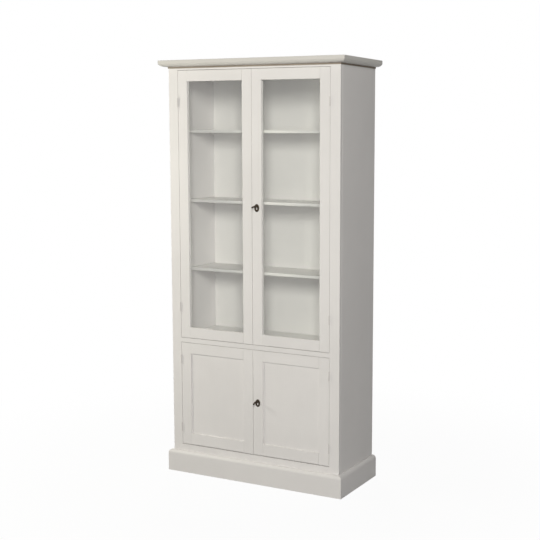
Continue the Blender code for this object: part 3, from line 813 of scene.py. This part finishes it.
def makeTopBoard():
    low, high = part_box("top_board")
    frameLow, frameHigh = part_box("face_frame")
    setup = topBoard
    fit, overrun = setup["fit"], setup["overrun"]
    band = newCube((low.x, low.y, high.z - setup["band"]), high)
    rims = [edge for edge in band.edges if spanOf(edge, 2) < sameSpot]
    rims = [edge for edge in rims if not liesAt(edge, 1, high.y)]
    roundEdges(band, rims, setup["eased"], setup["easedSteps"], setup["easedWorn"])
    # rounded as a quarter circle in a squashed space, then stretched to an oval
    squash = setup["drop"] / setup["reach"]
    foot = low.z + setup["quirk"]
    oval = newCube(
        (low.x * squash, low.y * squash, foot),
        (high.x * squash, high.y * squash, foot + setup["drop"] + setup["overlap"]),
    )
    under = [edge for edge in oval.edges if liesAt(edge, 2, foot)]
    under = [edge for edge in under if any(vert.co.y < 0.0 for vert in edge.verts)]
    roundEdges(oval, under, setup["drop"], setup["steps"], setup["ovalWorn"])
    oval.transform(Matrix.Diagonal((1 / squash, 1 / squash, 1.0, 1.0)))
    pocket = newCube(
        (frameLow.x - fit, frameLow.y - fit, low.z - overrun),
        (frameHigh.x + fit, high.y + overrun, frameHigh.z + fit),
    )
    hole = pocket.copy()
    bm = combine(combine(band, [oval], "top_board", "UNION"), [pocket], "top_board")
    # the top board takes the darker cream, which is painted shade
    finishPiece("top_board_moulded", bm, "carcass", paintFor("top", "X", 3), ["top_board"])
    # a strip in the recess under the moulding, painted dark brown as painted shadow for the shade
    # there
    out = setup["strip"]
    strip = newCube(
        (frameLow.x - out, frameLow.y - out, low.z),
        (frameHigh.x + out, high.y, foot + fit),
    )
    strip = combine(strip, [hole], "strip")
    finishPiece("top_board_strip", strip, "carcass", paintFor("bare", "X", 1))


plinth = {"round": 0.017, "steps": 12, "worn": 0.06, "fit": 0.0003}


def plinthBoard(low, high, axis, outer, mitres):
    # a board with a quarter round on its outer top edge
    bm = newCube(low, high)
    edges = [edge for edge in bm.edges if liesAt(edge, axis, outer) and liesAt(edge, 2, high[2])]
    roundEdges(bm, edges, plinth["round"], plinth["steps"], plinth["worn"])
    for corner, normal in mitres:
        way = Vector(normal).normalized()
        cut = bmesh.ops.bisect_plane(
            bm,
            geom=bm.verts[:] + bm.edges[:] + bm.faces[:],
            plane_co=Vector(corner) - way * plinth["fit"] / 2,
            plane_no=way,
            clear_outer=True,
            clear_inner=False,
        )
        edges = [item for item in cut["geom_cut"] if isinstance(item, bmesh.types.BMEdge)]
        bmesh.ops.contextual_create(bm, geom=edges)
    bmesh.ops.recalc_face_normals(bm, faces=bm.faces)
    return bm


def makePlinth():
    frameLow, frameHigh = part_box("face_frame")
    low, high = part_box("plinth_front")
    mitres = [((way * frameHigh.x, frameLow.y, 0.0), (way, 1.0, 0.0)) for way, _ in sides]
    back = frameLow.y - plinth["fit"]
    bm = plinthBoard(low, (high.x, back, high.z), 1, low.y, mitres)
    front = "plinth_front"
    finishPiece(front + "_moulded", bm, "carcass", paintFor("cream", "X", 1), [front])
    for way, label in sides:
        name = "plinth_" + label
        low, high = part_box(name)
        mitre = ((way * frameHigh.x, frameLow.y, 0.0), (-way, -1.0, 0.0))
        bm = plinthBoard(low, high, 0, high.x if way > 0 else low.x, [mitre])
        finishPiece(name + "_moulded", bm, "carcass", paintFor("cream", "Y", 2), [name])
    print("top board and plinth moulded")


hingeSizes = {
    "barrel": 0.0032,
    "barrelAround": 28,
    "bore": 0.0017,
    "pin": 0.0013,
    "around": 20,  # faces round the pin, its bore and the screws
    "leaf": 0.0007,  # thickness
    "apart": 0.00015,  # from the pin's plane to each leaf
    "behind": 0.0038,  # from the pin to each leaf's near and far edge
    "deep": 0.0207,
    "corner": 0.0030,
    "cornerSteps": 6,
    "cornerWorn": 0.1,
    "rim": 0.00035,
    "rimSteps": 3,
    "gap": 0.0003,
    "screws": (-0.0145, 0.0, 0.0145),  # heights from the middle
    "screwDepth": 0.0130,
    "head": (0.0023, 0.0014),  # wide and narrow radius
    "hole": (0.0002, 0.0007),  # wider than the head by, and its depth
    "screw": (-0.00005, 0.0008),
    "slot": (0.0008, 0.0004, 0.006),
    "slotTurn": (25, 50),  # degrees for the first screw, and from one to the next
}


def screwCones(toward, larger, length):
    # countersunk heads that face the other leaf
    bm = bmesh.new()
    size = hingeSizes
    wide, narrow = (radius + larger for radius in size["head"])
    near, far = (wide, narrow) if toward > 0 else (narrow, wide)
    for z in size["screws"]:
        centre = (toward * (size["apart"] + size["leaf"] / 2), size["screwDepth"], z)
        addRod(bm, centre, near, length, "X", size["around"], far)
    return bm


def hingeShape(kind, side, half):
    # one leaf about the middle of the pin, and its screws
    size = hingeSizes
    gap = size["gap"]
    toward = side if kind == "frame" else -side
    near, far = sorted((toward * size["apart"], toward * (size["apart"] + size["leaf"])))
    plate = newCube((near, size["behind"], -half), (far, size["deep"], half))
    corners = [
        edge
        for edge in plate.edges
        if all(vert.co.y > size["deep"] - sameSpot for vert in edge.verts)
        and spanOf(edge, 2) < sameSpot
    ]
    roundEdges(plate, corners, size["corner"], size["cornerSteps"], size["cornerWorn"])
    third = 2 * half / 3
    if kind == "frame":
        spans = ((-half, -third / 2 - gap), (third / 2 + gap, half))
    else:
        spans = ((-third / 2, third / 2),)
    others = []
    for low, high in spans:
        knuckle = bmesh.new()
        centre = (0.0, 0.0, (low + high) / 2)
        addRod(knuckle, centre, size["barrel"], high - low, "Z", size["barrelAround"])
        # the rims are marked in full, so the hinge paint puts its near-black painted shade on them
        roundEdges(knuckle, sharpEdges(knuckle), size["rim"], size["rimSteps"])
        others.append(knuckle)
        others.append(newCube((near, size["bore"] + gap, low), (far, size["behind"] + gap, high)))
    if kind == "frame":
        pin = bmesh.new()
        addRod(pin, (0.0, 0.0, 0.0), size["pin"], 2 * half - gap, "Z", size["around"])
        others.append(pin)
    bm = combine(plate, others, "hinge", "UNION")
    if kind == "door":
        bore = bmesh.new()
        addRod(bore, (0.0, 0.0, 0.0), size["bore"], 2 * half, "Z", size["around"])
        bm = combine(bm, [bore], "hinge")
    bm = combine(bm, [screwCones(toward, *size["hole"])], "hinge")
    screws = screwCones(toward, *size["screw"])
    slots = bmesh.new()
    first, onward = size["slotTurn"]
    for number, z in enumerate(size["screws"]):
        turn = Matrix.Rotation(math.radians(first + onward * number), 4, "X")
        addBox(slots, (toward * size["apart"], size["screwDepth"], z), size["slot"], turn)
    return bm, combine(screws, [slots], "screws")


def makeHinges():
    low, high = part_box("hinge_upper_left_top_frame_leaf")
    half = (high.z - low.z) / 2
    spots = [(level, spot) for level in levels for spot in ("top", "bottom")]
    for side, label in sides:
        for kind in ("frame", "door"):
            leaf, screws = hingeShape(kind, side, half)
            for level, spot in spots:
                node = "hinge_%s_%s_%s_%s_leaf" % (level, label, spot, kind)
                low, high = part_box(node)
                pin = joints["%s_%s_door_swing" % (level, label)]["pos_m"]
                place = Matrix.Translation((pin[0], pin[1], (low.z + high.z) / 2))
                bm = leaf.copy()
                bm.transform(place)
                # the hinge paint is painted shade: darker than the cream, and near black on the
                # knuckles' rims
                finishPiece(node + "_fine", bm, bodyOf(node), paintFor("hinge", "Z"), [node])
                bm = screws.copy()
                bm.transform(place)
                finishPiece(node + "_screws", bm, bodyOf(node), metals["paleNickel"])
            leaf.free()
            screws.free()
    print("hinges made")


plateLook = {
    "around": 64,
    "crown": 0.00045,  # rounding of the front rim
    "crownSteps": 4,
    "crownWorn": 0.6,
    "border": 0.0020,
    "step": (0.0003, 0.00025),  # width of the slope up to the raised field, and its height
    "pins": 0.0142,  # above and below the middle
    "pinHead": (0.0013, 0.0007, 0.0013),
    "pinAround": 20,
    "pinRows": 10,
    "hole": 0.0030,
    "holeAround": 32,
    "slot": (0.0029, 0.0150),  # half its width, and how far down it reaches
    "slotTop": 0.001,
    "slotRound": 0.0015,
    "slotSteps": 4,
    "flare": 0.0010,
    "facing": 0.9,  # how squarely a front face looks ahead at least
    "overrun": 0.01,
}


def plateOutline(width, height, thickness):
    # an oval plate lying in the front plane, its face towards the viewer
    bm = bmesh.new()
    made = bmesh.ops.create_circle(bm, cap_ends=True, segments=plateLook["around"], radius=0.5)
    upright = Matrix.Rotation(math.pi / 2, 3, "X")
    bmesh.ops.rotate(bm, verts=made["verts"], cent=(0, 0, 0), matrix=upright)
    bm.transform(Matrix.Diagonal((width, 1.0, height, 1.0)))
    grown = bmesh.ops.extrude_face_region(bm, geom=bm.faces[:])
    moved = [item for item in grown["geom"] if isinstance(item, bmesh.types.BMVert)]
    bmesh.ops.translate(bm, verts=moved, vec=(0.0, -thickness, 0.0))
    bmesh.ops.recalc_face_normals(bm, faces=bm.faces)
    return bm


def frontFace(bm):
    return min(bm.faces, key=lambda face: face.calc_center_median().y)


def lastInset(bm):
    # the innermost face that looks at the viewer
    facing = [face for face in bm.faces if face.normal.y < -plateLook["facing"]]
    return max(facing, key=lambda face: len(face.verts))


def keyholeSlot(keyAt):
    # the part of the keyhole below the round hole, wider at its foot
    look = plateLook
    x, y, z = keyAt
    half, reach = look["slot"]
    overrun = look["overrun"]
    slot = newCube((x - half, y - overrun, z - reach), (x + half, y + overrun, z))
    below = z - look["slotTop"]
    for vert in slot.verts:
        outward = math.copysign(look["flare"] / 2, vert.co.x - x)
        vert.co.x += outward if vert.co.z < below else -outward
    foot = [edge for edge in slot.edges if all(vert.co.z < below for vert in edge.verts)]
    foot = [edge for edge in foot if spanOf(edge, 1) > overrun]
    roundEdges(slot, foot, look["slotRound"], look["slotSteps"])
    return slot


def makePlate(level):
    look = plateLook
    node = "escutcheon_" + level
    low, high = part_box(node)
    keyAt = joints[level + "_key_turn"]["pos_m"]
    middle = Vector(((low.x + high.x) / 2, high.y, (low.z + high.z) / 2))
    bm = plateOutline(high.x - low.x, high.z - low.z, high.y - low.y)
    roundEdges(bm, frontFace(bm).edges[:], look["crown"], look["crownSteps"], look["crownWorn"])
    width, height = look["step"]
    bmesh.ops.inset_region(bm, faces=[frontFace(bm)], thickness=look["border"], depth=0.0)
    bmesh.ops.inset_region(bm, faces=[lastInset(bm)], thickness=width, depth=height)
    bm.transform(Matrix.Translation(middle))
    hole = bmesh.new()
    addRod(hole, keyAt, look["hole"], 2 * look["overrun"], "Y", look["holeAround"])
    bm = combine(bm, [hole, keyholeSlot(keyAt)], node)
    for end in (-1, 1):
        place = (middle.x, low.y, middle.z + end * look["pins"])
        addDome(bm, place, look["pinHead"], look["pinAround"], look["pinRows"])
    finishPiece(node + "_pressed", bm, bodyOf(node), metals["darkBronze"], [node])


keyLook = {
    "stem": [  # radius and depth from the door's face, in millimetres
        (0.0, -24.8), (1.9, -24.8), (2.9, -23.8), (3.3, -22.7), (2.9, -21.6), (2.1, -20.7),
        (2.1, -20.2), (2.4, -19.0), (2.4, -9.2), (2.9, -8.7), (2.9, -7.9), (2.4, -7.4),
        (2.4, -6.2), (3.3, -5.7), (4.0, -5.3), (4.0, -4.2), (3.4, -3.7), (2.4, -3.5),
        (2.4, 16.4), (1.7, 17.4), (0.0, 17.4),
    ],
    "stemAround": 32,
    "bow": (0.022, 0.018, 0.0025),  # width, length and the wire's radius
    "bowAround": 48,
    "wireAround": 16,
    "bowMiddle": -0.031,
    "bit": (0.0011, 0.0106, 0.0168, 0.0057),  # half its thickness, start, end and reach
    "notch": (0.0014, 0.0022),  # width and depth
    "overrun": 0.01,
    "leans": {"upper": 60.0, "lower": 35.0},  # degrees of the bit from upright at rest
}


def makeBow():
    # a ring of round wire, squeezed a little along the stem
    width, length, wire = keyLook["bow"]
    bow = bmesh.new()
    ring = bmesh.ops.create_circle(bow, segments=keyLook["wireAround"], radius=wire)["verts"]
    upright = Matrix.Rotation(math.pi / 2, 3, "X")
    bmesh.ops.rotate(bow, verts=ring, cent=(0, 0, 0), matrix=upright)
    bmesh.ops.translate(bow, verts=ring, vec=(0.0, 0.0, width / 2 - wire))
    spinRound(bow, bow.verts[:] + bow.edges[:], (1, 0, 0), keyLook["bowAround"])
    squeeze = Matrix.Diagonal((1.0, length / width, 1.0, 1.0))
    bow.transform(Matrix.Translation((0.0, keyLook["bowMiddle"], 0.0)) @ squeeze)
    return bow


def makeBit():
    half, start, end, reach = keyLook["bit"]
    wide, deep = keyLook["notch"]
    overrun = keyLook["overrun"]
    middle = (start + end) / 2
    notch = newCube(
        (-overrun, middle - wide / 2, reach - deep),
        (overrun, middle + wide / 2, reach + overrun),
    )
    return combine(newCube((-half, start, 0.0), (half, end, reach)), [notch], "bit")


def makeKey(level):
    node = "key_" + level
    outline = keyLook["stem"]
    points = [(radius / perMetre, depth / perMetre, 0.0) for radius, depth in outline]
    stem = turnedShape(points, (0, 1, 0), keyLook["stemAround"])
    bm = combine(stem, [makeBow(), makeBit()], "key", "UNION")
    lean = Matrix.Rotation(math.radians(keyLook["leans"][level]), 4, "Y")
    bm.transform(Matrix.Translation(joints[level + "_key_turn"]["pos_m"]) @ lean)
    finishPiece(node + "_turned", bm, bodyOf(node), metals["darkBronze"], [node])


# roundings are given as width and steps
lockLook = {
    "caseRound": (0.0003, 2),
    "caseShortest": 0.009,
    "coverIn": 0.0022,
    "coverProud": 0.0007,
    "coverSunk": 0.0003,
    "coverCorner": (0.0025, 5),
    "coverRim": (0.0002, 2),
    "screwIn": 0.0042,
    "screw": (0.0021, 0.0005),  # radius and height
    "screwAround": 24,
    "screwRim": (0.00015, 2),
    "screwSlot": (0.0006, 0.00035),  # width and depth
    "slotLength": 0.02,
    "slotTurn": (20, 47),  # degrees for the first screw, and from one to the next
    "boltNose": (0.0009, 4),
    "boltRound": (0.0002, 2),
    "boltShortest": 0.003,
    "uprightFrom": 1e-4,  # least height of an upright edge
    "faceProud": 0.00035,
    "faceSunk": 0.0002,
    "faceHalf": 0.0042,
    "faceCorner": 0.9,  # of half its width
    "faceSteps": 8,
    "faceWorn": 0.1,
    "faceEnds": 0.006,
    "boltSpare": 0.0006,
    "overrun": 0.01,
}


def slottedHeads(spots, radius, proud):
    # flat screw heads on the door's back, each with a sawn slot
    heads = bmesh.new()
    slots = bmesh.new()
    width, depth = lockLook["screwSlot"]
    first, onward = lockLook["slotTurn"]
    for number, spot in enumerate(spots):
        middle = Vector(spot)
        addRod(heads, middle, radius, 2 * proud, "Y", lockLook["screwAround"])
        turn = Matrix.Rotation(math.radians(first + onward * number), 4, "Y")
        top = middle + Vector((0.0, 1.0, 0.0)) * proud
        addBox(slots, top, (lockLook["slotLength"], 2 * depth, width), turn)
    roundEdges(heads, sharpEdges(heads), *lockLook["screwRim"])
    return combine(heads, [slots], "heads")


def makeLockCase(level):
    node = "lock_case_" + level
    low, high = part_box(node)
    look = lockLook
    bm = copyOf(node)
    edges = sharpEdges(bm, shortest=look["caseShortest"])
    roundEdges(bm, edges, *look["caseRound"])
    finishPiece(node + "_body", bm, bodyOf(node), metals["lockSteel"], [node])
    edge = look["coverIn"]
    top = high.y + look["coverProud"]
    cover = newCube(
        (low.x + edge, high.y - look["coverSunk"], low.z + edge),
        (high.x - edge, top, high.z - edge),
    )
    corners = [item for item in cover.edges if spanOf(item, 1) > samePlane]
    roundEdges(cover, corners, *look["coverCorner"])
    rim = [item for item in sharpEdges(cover) if all(vert.co.y > high.y for vert in item.verts)]
    roundEdges(cover, rim, *look["coverRim"])
    inset = look["screwIn"]
    spots = []
    for x in (low.x + edge + inset, high.x - edge - inset):
        for z in (low.z + edge + inset, high.z - edge - inset):
            spots.append((x, top, z))
    cover = combine(cover, [slottedHeads(spots, *look["screw"])], "cover", "UNION")
    finishPiece(node + "_cover", cover, bodyOf(node), metals["lockSteel"])


def makeBolt(level):
    node = "lock_bolt_" + level
    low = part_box(node)[0]
    bm = copyOf(node)
    nose = [
        edge
        for edge in sharpEdges(bm)
        if all(vert.co.x < low.x + samePlane for vert in edge.verts)
        and spanOf(edge, 2) > lockLook["uprightFrom"]
    ]
    roundEdges(bm, nose, *lockLook["boltNose"])
    edges = sharpEdges(bm, shortest=lockLook["boltShortest"])
    roundEdges(bm, edges, *lockLook["boltRound"])
    finishPiece(node + "_shot", bm, bodyOf(node), metals["lockSteel"], [node])


def makeEdgePlates(level):
    # the lock's face plate on the right door and the strike plate on the left one
    look = lockLook
    caseLow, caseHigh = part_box("lock_case_" + level)
    boltLow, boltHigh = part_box("lock_bolt_" + level)
    middle = (boltLow.y + boltHigh.y) / 2
    half, ends, spare = look["faceHalf"], look["faceEnds"], look["boltSpare"]
    for side, label in reversed(sides):
        stile = "%s_%s_meeting_stile" % (level, label)
        stileLow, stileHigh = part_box(stile)
        edge = stileLow.x if side > 0 else stileHigh.x
        near, far = sorted((edge - side * look["faceProud"], edge + side * look["faceSunk"]))
        plate = newCube(
            (near, middle - half, caseLow.z + ends),
            (far, middle + half, caseHigh.z - ends),
        )
        corners = [item for item in plate.edges if spanOf(item, 0) > samePlane]
        roundEdges(plate, corners, half * look["faceCorner"], look["faceSteps"], look["faceWorn"])
        hole = newCube(
            (-look["overrun"], boltLow.y - spare, boltLow.z - spare),
            (look["overrun"], boltHigh.y + spare, boltHigh.z + spare),
        )
        name = ("lock_face_plate_" if side > 0 else "strike_plate_") + level
        finishPiece(name, combine(plate, [hole], "plate"), bodyOf(stile), metals["lockSteel"])


def makeLocks():
    for level in levels:
        makePlate(level)
        makeKey(level)
        makeLockCase(level)
        makeBolt(level)
        makeEdgePlates(level)
    print("locks and keys made")


catchLook = {
    "outline": [  # radius and height from the door's top, in millimetres
        (0.0, -14.0), (3.0, -14.0), (3.5, -13.4), (3.5, -0.6), (3.9, -0.5), (5.2, -0.5),
        (5.2, 0.15), (5.0, 0.3), (2.7, 0.3), (2.45, 0.1), (2.35, 0.45), (1.9, 0.75),
        (1.2, 0.93), (0.0, 1.0),
    ],
    "around": 32,
}


def makeCatches():
    outline = catchLook["outline"]
    points = [(radius / perMetre, 0.0, height / perMetre) for radius, height in outline]
    for level in levels:
        node = "bullet_catch_" + level
        low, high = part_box(node)
        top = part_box(level + "_left_meeting_stile")[1].z
        bm = turnedShape(points, (0, 0, 1), catchLook["around"])
        bm.transform(Matrix.Translation(((low.x + high.x) / 2, (low.y + high.y) / 2, top)))
        finishPiece(node + "_turned", bm, bodyOf(node), metals["catchBrass"], [node])
    print("catches made")


backPins = {
    "head": (0.0016, 0.0004, 0.0016),  # its radii, the middle one its height
    "around": 12,
    "rows": 8,
    "inset": 0.008,
    "apart": 0.16,
    "panelRound": (0.0004, 2),
}


def makeBackPanel():
    # thinner by the height of its pins' heads, which stay inside the cabinet's depth
    low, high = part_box("back_panel")
    face = high.y - backPins["head"][1]
    bm = newCube(low, (high.x, face, high.z))
    roundEdges(bm, sharpEdges(bm), *backPins["panelRound"])
    finishPiece("back_panel_painted", bm, "carcass", paintFor("inner", "Z", 3), ["back_panel"])
    inset = backPins["inset"]
    left, right, foot, top = low.x + inset, high.x - inset, low.z + inset, high.z - inset
    across = round((right - left) / backPins["apart"])
    upright = round((top - foot) / backPins["apart"])
    spots = []
    for number in range(across + 1):
        x = left + (right - left) * number / across
        spots += [(x, foot), (x, top)]
    for number in range(1, upright):
        z = foot + (top - foot) * number / upright
        spots += [(left, z), (right, z)]
    pins = bmesh.new()
    for x, z in spots:
        addDome(pins, (x, face, z), backPins["head"], backPins["around"], backPins["rows"])
    finishPiece("back_panel_pins", pins, "carcass", metals["lockSteel"])
    print("back panel pinned:", len(spots))


placeCamera(cameraSetup)
placeLamps()
makeStudio()
metals = {look: makeMetal(look) for look in metalLooks}
makeBoards()
makeTopBoard()
makePlinth()
makeHinges()
makeLocks()
makeCatches()
makeBackPanel()

glass = makeGlass()
for _, label in sides:
    nodes["upper_%s_glass_pane" % label].material_slots[0].material = glass

bpy.context.scene.view_settings.view_transform = "Standard"
